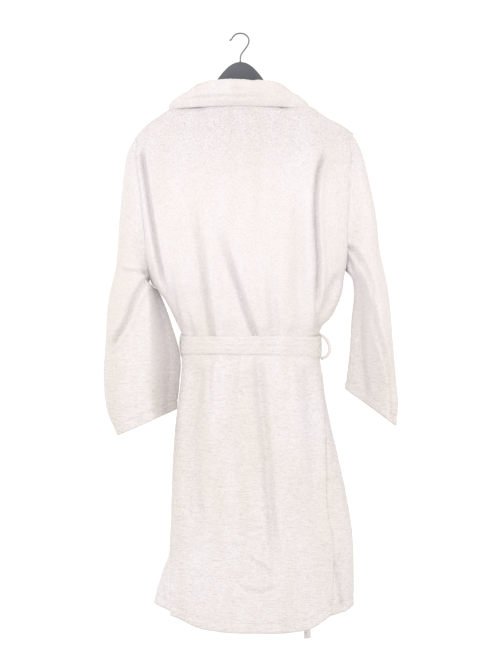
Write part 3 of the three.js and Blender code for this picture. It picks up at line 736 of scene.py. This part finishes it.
# how far round the body, from left to right, the free edge of each front lies
OUTER_EDGE = along([221, 690, 1300], [0.365, 0.59, 0.60])
INNER_EDGE = along([221, 690, 1300], [0.615, 0.315, 0.29])


def left_front():
    def layer(around, level):
        covered = smooth(around, 0.12, 0.3) * smooth(level, 380, 520)
        return 2.5 * covered * np.where(np.abs(level - BELT_LEVEL) < 60, 0.3, 1.0)

    def low(level):
        return seam_turn(level, -1)

    def hold(part):
        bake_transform(part)

    nodes = ["left_front", "left_front_lower"]
    front("left_front", low, OUTER_EDGE, layer, nodes, hold)


def right_front():
    def layer(around, level):
        covered = 1 - smooth(around, OUTER_EDGE(level) + 0.02, OUTER_EDGE(level) + 0.1)
        return -(CLOTH + 2.5) * covered

    def high(level):
        return 1.0 + seam_turn(level, 1)

    front("right_front", INNER_EDGE, high, layer, ["right_front"], on_robe)


def seam_turn(level, side):
    """How far past the silhouette, round to the back, a front reaches to its side seam."""
    seam_x = left_seam_x(level) if side < 0 else right_seam_x(level)
    share = around_at(seam_x, level)
    turn = (share if side < 0 else 1 - share) + 0.012
    return np.where(level > BELT_LEVEL, side * turn, 0.0)


# ---------------------------------------------------------------- sleeves
# (x, level) of each sleeve's silhouette, beside the body and outside
LEFT_INNER = [
    (-199, 537), (-202, 556), (-184, 568), (-170, 597), (-150, 654), (-133, 722), (-136, 775),
    (-142, 835),
]
LEFT_OUTER = [
    (-237, 233), (-251, 268), (-260, 326), (-268, 414), (-276, 517), (-291, 583),
    (-299, 686), (-303, 770), (-294, 840), (-273, 889),
]
RIGHT_INNER = [(232, 524), (248, 543), (252, 566), (247, 637), (243, 709), (236, 764), (232, 788)]
RIGHT_OUTER = [
    (250, 221), (270, 266), (285, 326), (300, 400), (309, 481), (326, 561),
    (337, 671), (344, 764), (349, 822), (345, 867),
]


# where the turned-in part of each sleeve ends, as a share of the way to its outer edge
LEFT_RIDGE = along([540, 600, 654, 722, 860], [0.2, 0.28, 0.35, 0.41, 0.41])
RIGHT_RIDGE = along([540, 570, 640, 720, 860], [0.45, 0.55, 0.74, 0.84, 0.86])


def sleeve(side, inner_line, outer_line, creases, half_depth, ridge):
    """A tube from the armhole to the cuff; below the pit its inner part turns to the body."""
    name = "left_sleeve" if side < 0 else "right_sleeve"
    share = np.linspace(0, 1, 220)
    # the upper part fans out from the pit, and the lower part hangs level
    route = np.interp(share, [0, 0.42, 1], [0, 0.13, 1])
    inner = curve(inner_line, 400)[(route * 399).astype(int)]
    padded = np.pad(inner, ((6, 6), (0, 0)), "edge")
    inner = np.stack([np.convolve(c, np.ones(13) / 13, "valid") for c in padded.T], 1)
    route = np.interp(share, [0, 0.42, 1], [0, 0.49, 1])
    outer = curve(outer_line, 400)[(route * 399).astype(int)]
    turn = np.linspace(0, 2 * math.pi, 112, endpoint=False)
    c, s = np.cos(turn)[:, None], np.sin(turn)[:, None]
    reach = 0.5 - 0.5 * c
    x = mix(inner[None, :, 0], outer[None, :, 0], reach)
    level = mix(inner[None, :, 1], outer[None, :, 1], reach)
    low = smooth(share, 0.2, 0.6)[None, :]
    deep = mix(ARM_DEPTH, half_depth, low)
    round_back = np.abs(s) ** mix(0.97, 0.85, smooth(share, 0, 0.2))[None, :]
    near = np.clip(reach / ridge(level), 0, 1)
    rise = 0.15 * np.sqrt(near) + 0.85 * smooth(near, 0.3, 1)
    outer_part = np.clip((reach - ridge(level)) / (1 - ridge(level)), 0, 1)
    turned = rise * (1 - outer_part**2.6) ** 0.6
    middle = 32.0 * low * (1 - reach) ** 1.2
    back_face = middle - (deep + middle) * mix(round_back, turned, low)
    front_face = middle + (deep - middle) * round_back
    y = np.where(s > 0, back_face, front_face)
    # the seam allowance goes in under the body's cloth
    tucked = 1 - smooth(share, 0, 0.022)[None, :]
    x = x - side * 5.0 * tucked
    y = y * (1 - 0.015 * tucked)
    grid = np.stack([x, y, -level], -1)
    behind = smooth(np.abs(s), 0.05, 0.45) * (s > 0)
    out = relief(creases, x, level) * behind
    out += 0.8 * rumple(x + 150 * side, level + 40 * np.sign(y)) * smooth(np.abs(s), 0.1, 0.6)
    hem = mix(inner[-1, 1], outer[-1, 1], reach) - level
    out = out + hem_dip(hem, CUFF_INSET)
    out = out * smooth(share, 0, 0.05)[None, :]
    centre = ((inner + outer) / 2)[None]
    away = unit(np.stack([x - centre[..., 0], (y - middle) * 2.5, 0 * x], -1))
    grid = grid + away * out[..., None]
    sign = inward_sign(grid, away, True)
    piece = cloth_piece(f"{name}_cloth", grid, TERRY, closed=True, inward=sign)
    points, normals = line_at(grid, away, hem, CUFF_INSET)
    ring = (np.vstack([points, points[:1]]), np.vstack([normals, normals[:1]]))
    cuff = stitches(f"{name}_hem_stitches", [ring])

    def hold(part):
        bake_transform(part)

    hang(piece, cuff, [f"{name}_upper", f"{name}_lower"], hold)


# ---------------------------------------------------------------- collar
COLLAR_FOLDS = folds(
    ([(-140, 150), (-90, 143), (-20, 141), (30, 142), (80, 137)], -3, 3.5, 1.6, (0.15, 0.4)),
    ([(-60, 108), (-30, 121), (10, 127), (30, 126)], -2, 3.5, 1.2, (0.3, 0.4)),
    ([(40, 112), (80, 128), (112, 145)], -2.4, 4, 1.2, (0.4, 0.3)),
    ([(-118, 140), (-96, 130), (-70, 124)], -2, 4, 1.2, (0.3, 0.4)),
)
NECK_X = -3.0
COLLAR_AROUND = [
    # half width, half depth, level at the side, level at the back
    (154, 47, 172, 161),
    (153, 54, 162, 150),
    (140, 60, 149, 132),
    (118, 60, 141, 113),
    (100, 52, 130, 104),
    (90, 44, 132, 108),
    (86, 40, 139, 128),
    (84, 38, 141, 150),
]


def lapel(side):
    """The collar's lines on one front, from beside the neck to under the belt."""
    rows = []
    share = np.linspace(0, 1, len(COLLAR_AROUND))
    for t, (width, _, side_level, _) in zip(share, COLLAR_AROUND):
        roll = math.sin(math.pi * t)
        x_mid, x_low = mix(136, 66, t), mix(86, 24, t)
        x_end, x_foot = mix(4, -44, t), mix(-14, -56, t)
        layer = 6.0 if side < 0 else 0.0
        path = [
            (width, 0, side_level),
            (mix(150, 90, t), 36 + 7 * roll, mix(206, 168, t)),
            (x_mid, 60 + 9 * roll, mix(292, 282, t)),
            (x_low, 70 + 9 * roll + layer * 0.7, mix(450, 440, t)),
            (x_end, 65 + 5 * roll + layer, mix(625, 640, t)),
            (x_foot, 57.5 + 0.3 * layer, 680),
        ]
        points = curve(path, 70)
        rows.append(np.stack([NECK_X + side * points[:, 0], points[:, 1], -points[:, 2]], -1))
    return np.stack(rows)


def shawl_collar():
    """A rolled fold of two cloths: round the back of the neck, then down both fronts."""
    half_turn = np.linspace(0, math.pi, 91)
    back = np.sin(half_turn)
    lines = []
    for width, deep, side_level, back_level in COLLAR_AROUND:
        level = mix(side_level, back_level, back**0.7)
        x = NECK_X - width * np.cos(half_turn)
        lines.append(np.stack([x, -deep * back, -level], -1))
    around = np.stack(lines)
    left, right = lapel(-1)[:, ::-1], lapel(1)
    lines = np.concatenate([left[:, :-1], around, right[:, 1:]], 1)
    rows = np.stack([curve(column, 44) for column in lines.transpose(1, 0, 2)], 1)
    x, level = rows[..., 0], -rows[..., 2]
    normal = normals_of(rows)
    if normal[8, rows.shape[1] // 2, 1] > 0:
        normal = -normal
    wave = 2.0 * value_noise(x + 500, level, 38, 9) + 1.1 * value_noise(x + 500, level, 15, 10)
    out = wave + relief(COLLAR_FOLDS, x, level) * (rows[..., 1] < -20)
    edge = np.linspace(0, 1, rows.shape[0])[:, None]
    out = out * smooth(edge, 0, 0.1) * smooth(1 - edge, 0, 0.1)
    rows = rows + normal * out[..., None]
    sign = inward_sign(rows, normal)
    # the collar takes the terry copy without the shoulders' speck and painted shade
    piece = cloth_piece("shawl_collar", rows + normal * 1.5, TERRY_WITHOUT_SPECK_AND_SHOULDER_SHADE, thick=7.0, inward=sign)
    dress(piece, "collar_back", "left_lapel", "right_lapel")


# ---------------------------------------------------------------- belt
STITCH_ROWS = (-0.56, 0.0, 0.56)  # across the belt, from its foot at -1 to its top at 1


def belt():
    count, rows = 420, 25
    turn = np.linspace(0, 2, count, endpoint=False)
    around, level = np.where(turn < 1, turn, 2 - turn), np.full(count, BELT_LEVEL)
    back, facing = (body_surface(around, level, face, 2.2) for face in (-1, 1))
    ring = np.where((turn < 1)[:, None], back, facing)
    x = ring[:, 0]
    tilt = 3.6 * smooth(x, 40, 175)
    half = 20.5 + tilt + 0.5 * np.sin(x / 31)
    grid = np.zeros((count, rows, 3))
    away = ring - (21.0, 0, 0)
    away[:, 2] = 0
    away[:, 1] *= 2.6
    away = unit(away)
    for j, t in enumerate(np.linspace(-1, 1, rows)):
        height = -BELT_LEVEL - 0.2 - tilt + t * half + 0.5 * value_noise(x, 0 * x + t, 30, 12)
        sewn = sum(bump(t - s, 0.06) for s in STITCH_ROWS)
        out = 3.2 * (1 - abs(t) ** 6) - sewn + 0.8 * value_noise(x + 40, 0 * x + t * 8, 25, 13)
        out = out + 4.0 * smooth(x, 140, 174)
        grid[:, j] = ring + away * out[:, None]
        grid[:, j, 2] = height
    sign = inward_sign(grid, away[:, None], True)
    piece = cloth_piece("belt_wrap_cloth", grid, TERRY, thick=5.0, closed=True, inward=sign)
    lines = []
    for t in STITCH_ROWS:
        j = int(round((t + 1) / 2 * (rows - 1)))
        lines.append((np.vstack([grid[:, j], grid[:1, j]]), np.vstack([away, away[:1]])))
    dress(stitches("belt_stitches", lines))
    dress(piece, "belt_wrap")


KNOT = np.array([138.0, 68.2, -BELT_LEVEL])
TAIL_TOP = 711.0


def belt_knot_and_tails():
    """An overhand knot: a band wrapped round the crossing, and two loops beside it."""
    t = np.linspace(0, 2 * math.pi, 60)
    wrap = KNOT + np.stack([13 * np.cos(t), 15 * np.sin(t), 5 * np.sin(t + 0.6) - 3], -1)
    core = strip("belt_knot_wrap", wrap, 32.0, 10.0, TERRY, across=(0.25, 0, 1), sides=14)
    dress(core, "belt_knot")
    for name, sign in (("belt_knot_left", -1), ("belt_knot_right", 1)):
        bends = ((8, 2, 4), (18, 0, 3), (27, -9, 0), (24, -17, -2))
        path = curve([KNOT + (sign * x, y, z) for x, y, z in bends], 24)
        wide = np.interp(np.linspace(0, 1, 24), [0, 0.5, 1], [22, 34, 38])
        part = strip(name, path, wide, 9.0, TERRY, across=(0, 0, 1), sides=12)
        dress(part)
    tails = (("long", 15, 11, 1347, 1), ("short", -14, -18, 1290, -1))
    for name, top_x, foot_x, foot, sign in tails:
        share = np.linspace(0, 1, 110)
        path = np.stack(
            [
                mix(KNOT[0] + top_x, KNOT[0] + foot_x, share) + 2.0 * np.sin(7 * share) * sign,
                mix(KNOT[1] + 13, KNOT[1] + 34, share) + 1.2 * np.sin(9 * share + 1),
                -mix(TAIL_TOP, foot, share),
            ],
            -1,
        )
        wide = np.interp(share, [0, 0.06, 0.2, 1], [19, 24, 29, 31])
        twist = 0.25 * sign * np.sin(5 * share) + 0.1 * sign + 1.3 * smooth(share, 0.78, 0.97)
        tail = strip(
            f"belt_tail_{name}_cloth", path, wide, 6.0, TERRY, across=(1, 0, 0), twist=twist, sides=14
        )
        dress(tail, f"belt_tail_{name}", body=f"belt_tail_{name}")
        side = np.stack([np.cos(twist), 0 * twist, 0 * twist], -1)
        face = np.broadcast_to((0.0, 1.0, 0.0), path.shape)
        lines = []
        for offset in (-0.36, 0.36):
            shift = side * (offset * wide)[:, None] + face * 2.4
            lines.append(((path + shift)[4:-3], face[4:-3]))
        dress(stitches(f"belt_tail_{name}_stitches", lines), body=f"belt_tail_{name}")


def belt_loops():
    shapes = {
        "left": (-1, [(-1, 661), (3, 667), (5.5, 680), (5.5, 697), (3.5, 710), (-1, 719)], 9.0, 3.6),
        "right": (
            1, [(0, 664), (8, 669), (18, 678), (24, 690), (25, 703), (19, 714), (6, 721)], 11.0, 6.5,
        ),
    }
    for name, (sign, shape, wide, thick) in shapes.items():
        edge = left_x(BELT_LEVEL) if sign < 0 else right_x(BELT_LEVEL)
        path = curve([(edge + sign * (2 + x), 0, -level) for x, level in shape], 44)
        loop = strip(f"belt_loop_{name}_cloth", path, wide, thick, TERRY, across=(0, 1, 0), sides=14)
        dress(loop, f"belt_loop_{name}", body=f"belt_loop_{name}")
        out = unit(np.cross(np.gradient(path, axis=0), (0, 1, 0)))
        if np.mean(out[:, 0]) * sign < 0:
            out = -out
        lines = []
        for offset in (-0.3 * wide, 0.3 * wide):
            lines.append((path + out * thick * 0.43 + np.array([0, offset, 0]), out))
        threads = stitches(f"belt_loop_{name}_stitches", lines, radius=0.35)
        dress(threads, body=f"belt_loop_{name}")


# ---------------------------------------------------------------- pockets
def pockets():
    n = m = 60
    p, q = unit_grid(n, m)
    level = mix(752.0, 892.0, q)
    for name, low, high, full, wide in (
        ("left", 0.17, 0.5, 15.0, 0.16),
        ("right", 0.68, 0.93, 11.0, 0.11),
    ):
        base = body_surface(mix(low, high, p), level, 1)
        ahead = base - body_axis(level)
        ahead[..., 1] *= 2.4
        ahead[..., 2] = 0
        ahead = unit(ahead)
        edge = np.minimum(np.minimum(p, 1 - p) * 2.6, (1 - q) * 2.2)
        puff = smooth(edge, 0, 0.5) * mix(1.0, 0.75, q)
        band = 0.9 * smooth(30 - (level - 752), 0, 3) - 1.1 * bump(level - 784, 1.8)
        out = 4.5 + full * 0.62 * puff + band * smooth(edge, 0, 0.1)
        grid = base + ahead * out[..., None]
        sign = inward_sign(grid, ahead)
        piece = cloth_piece(f"{name}_pocket_cloth", grid, TERRY, thick=3.5, inward=sign)
        dress(piece, f"{name}_pocket")
        i, j = 3, m - 4
        lines = [
            (grid[i, 2:], ahead[i, 2:]),
            (grid[n - 1 - i, 2:], ahead[n - 1 - i, 2:]),
            (grid[i : n - i, j], ahead[i : n - i, j]),
            (grid[i : n - i, 13], ahead[i : n - i, 13]),
        ]
        dress(stitches(f"{name}_pocket_stitches", lines))


# ---------------------------------------------------------------- neck label, hanging loop, hanger
def neck_trim():
    tab = rounded_plate((-24, -40.6, -236), (20, -39.8, -208))
    label = new_mesh("neck_label_cloth", *tab, SATIN)
    dress(label, "neck_label", slot="satin")
    path = curve(
        [(-15, -36.5, -153), (-15.5, -36.5, -172), (-11, -36, -189), (0, -35.5, -196),
         (11, -36, -189), (15.5, -36.5, -172), (15, -36.5, -153)], 50,
    )
    loop = strip("locker_loop_cloth", path, 5.0, 2.2, SATIN, across=(0, 1, 0), sides=10)
    dress(loop, "locker_loop", body="locker_loop", slot="satin")


def rounded_plate(low, high):
    """A thin woven tab with its long edges folded, as vertices in metres and faces."""
    (x0, y0, z0), (x1, y1, z1) = low, high
    xs, zs = np.linspace(x0, x1, 24), np.linspace(z0, z1, 14)
    vertices, faces = [], []
    for y, sign in ((y0, -1), (y1, 1)):
        for x in xs:
            for z in zs:
                fold = 0.25 if min(x - x0, x1 - x) < 3.5 else 0.0
                sag = 0.3 * math.sin((x - x0) / (x1 - x0) * math.pi)
                vertices.append((x * MM, (y + sign * fold * 0.3 - sag) * MM, z * MM))
    nz, half = len(zs), len(xs) * len(zs)
    for i in range(len(xs) - 1):
        for j in range(nz - 1):
            a = i * nz + j
            faces.append((a, a + nz, a + nz + 1, a + 1))
            faces.append((half + a, half + a + 1, half + a + nz + 1, half + a + nz))
    edge = [i * nz for i in range(len(xs))] + [(len(xs) - 1) * nz + j for j in range(1, nz)]
    edge += [i * nz + nz - 1 for i in range(len(xs) - 2, -1, -1)] + list(range(nz - 2, 0, -1))
    for a, b in zip(edge, edge[1:] + edge[:1]):
        faces.append((a, b, half + b, half + a))
    return vertices, faces


HOOK_POINTS = (
    (-24.4, -14.5), (-20.3, -12.6), (-17.4, -7.6), (-10.5, -1.2), (0, 1.4), (10.5, -1.4), (17.2, -8.2),
    (18.8, -16.5), (16.3, -24.5), (10, -34), (4.4, -41.5), (1, -47.5), (0, -54), (0, -66),
)
WIRE = 3.4


def hanger():
    """The wire hook, the sleeve at its foot, and the arched bar, each along its own curve."""
    wire = curve([(x, 0, z) for x, z in HOOK_POINTS], 120)
    hook = strip("hook_wire", wire, WIRE, WIRE, STEEL, across=(0, 1, 0), sides=16)
    round_off(hook)
    dress(hook, "hanger_hook", body="hook", slot="steel")
    down = np.linspace(-61.5, -72.5, 24)
    sleeve_path = np.stack([0 * down, 0 * down, down], -1)
    wide = np.interp(down, [-72.5, -69, -68, -64, -62.5, -61.5], [7.6, 7.6, 5.6, 5.4, 5.2, 4.4])
    ferrule = strip("hook_ferrule_sleeve", sleeve_path, wide, wide, SLATE, across=(1, 0, 0), sides=28)
    dress(ferrule, "hook_ferrule", slot="slate")
    upper = [(0, 62), (12, 64), (23, 70), (37, 83), (49, 98), (62, 117), (78, 138), (92, 153)]
    upper += [(118, 166), (146, 179), (175, 193), (196, 205)]
    lower = [(0, 116), (10, 116.5), (20, 118), (31, 123), (42, 131), (54, 142), (69, 157), (84, 171)]
    lower += [(110, 186), (138, 199), (167, 213), (190, 225)]
    edges = []
    for half in (upper, lower):
        whole = [(-x, 0, -level) for x, level in reversed(half[1:])]
        whole += [(x, 0, -level) for x, level in half]
        edges.append(curve(whole, 161))
    top, foot = edges
    count, sides = 161, 24
    across = mix(7.0, 10.0, smooth(np.abs(top[:, 0]), 60, 190))
    out = np.clip((np.abs(np.linspace(-1, 1, count)) - 0.95) / 0.05, 0, 0.97)
    closing = np.sqrt(1 - out**2)
    vertices = []
    for i in range(count):
        centre, half = (top[i] + foot[i]) / 2, (top[i] - foot[i]) / 2
        for k in range(sides):
            angle = 2 * math.pi * (k + 0.5) / sides
            c, s = math.cos(angle), math.sin(angle)
            rise = math.copysign(abs(s) ** 0.7, s) * closing[i]
            side = math.copysign(abs(c) ** 0.8, c) * closing[i] * across[i]
            vertices.append((centre + half * rise + np.array([0, side, 0])) * MM)
    body = new_mesh("hanger_bar", vertices, tube_faces(count, sides), SLATE)
    dress(body, "hanger_body", slot="slate")


def round_off(piece):
    smoother = piece.modifiers.new("round", "SUBSURF")
    smoother.levels = 1
    smoother.render_levels = 1


# ---------------------------------------------------------------- scene
def camera():
    """Level and straight on, with the picture's height in metres in the plane of the robe's back."""
    view = bpy.data.cameras.new("camera")
    distance, high = 9.0, 1.4718
    eye = placed("camera", view, (0.0213, -distance, -0.6664))
    eye.rotation_euler = (math.radians(90), 0, 0)
    view.sensor_width = 36.0
    view.lens = 36.0 * (distance - 0.07) / high
    bpy.context.scene.camera = eye


def studio():
    world = bpy.context.scene.world or bpy.data.worlds.new("world")
    bpy.context.scene.world = world
    world.use_nodes = True
    sky = world.node_tree.nodes["Background"]
    sky.inputs["Color"].default_value = (1, 0.972, 0.945, 1)
    sky.inputs["Strength"].default_value = 1.10
    for name, place, power, size in (
        ("key", (-1.6, -3.1, 0.5), 24, 1.2),
        ("fill", (2.4, -2.6, 0.2), 13, 2.2),
    ):
        lamp = bpy.data.lights.new(name, "AREA")
        lamp.energy, lamp.size = power, size
        lamp.color = (0.9, 0.95, 1)
        lit = placed(name, lamp, place)
        aim = Vector((0.02, 0, -0.65)) - Vector(place)
        lit.rotation_euler = aim.to_track_quat("-Z", "Y").to_euler()
    bpy.context.scene.view_settings.view_transform = "Standard"
    ground = bpy.data.meshes.new("floor")
    corners = [(-1.5, -1.5, 0), (1.5, -1.5, 0), (1.5, 1.5, 0), (-1.5, 1.5, 0)]
    ground.from_pydata(corners, [], [(0, 1, 2, 3)])
    floor = placed("floor", ground, (0, 0, -1.75))
    pale, tree, face = shader("floor")
    grain = node(tree, "ShaderNodeTexNoise", Scale=40.0)
    colour = blend_colours(tree, grain.outputs["Fac"], (0.78, 0.78, 0.78), (0.82, 0.82, 0.82))
    tree.links.new(colour, face.inputs["Base Color"])
    ground.materials.append(pale)


camera()
studio()
back_panel()
left_front()
right_front()
sleeve(
    -1, LEFT_INNER, LEFT_OUTER, LEFT_SLEEVE_FOLDS, 42.0, LEFT_RIDGE,
)
sleeve(
    1, RIGHT_INNER, RIGHT_OUTER, RIGHT_SLEEVE_FOLDS, 44.0, RIGHT_RIDGE,
)
shawl_collar()
belt()
belt_knot_and_tails()
belt_loops()
pockets()
neck_trim()
hanger()
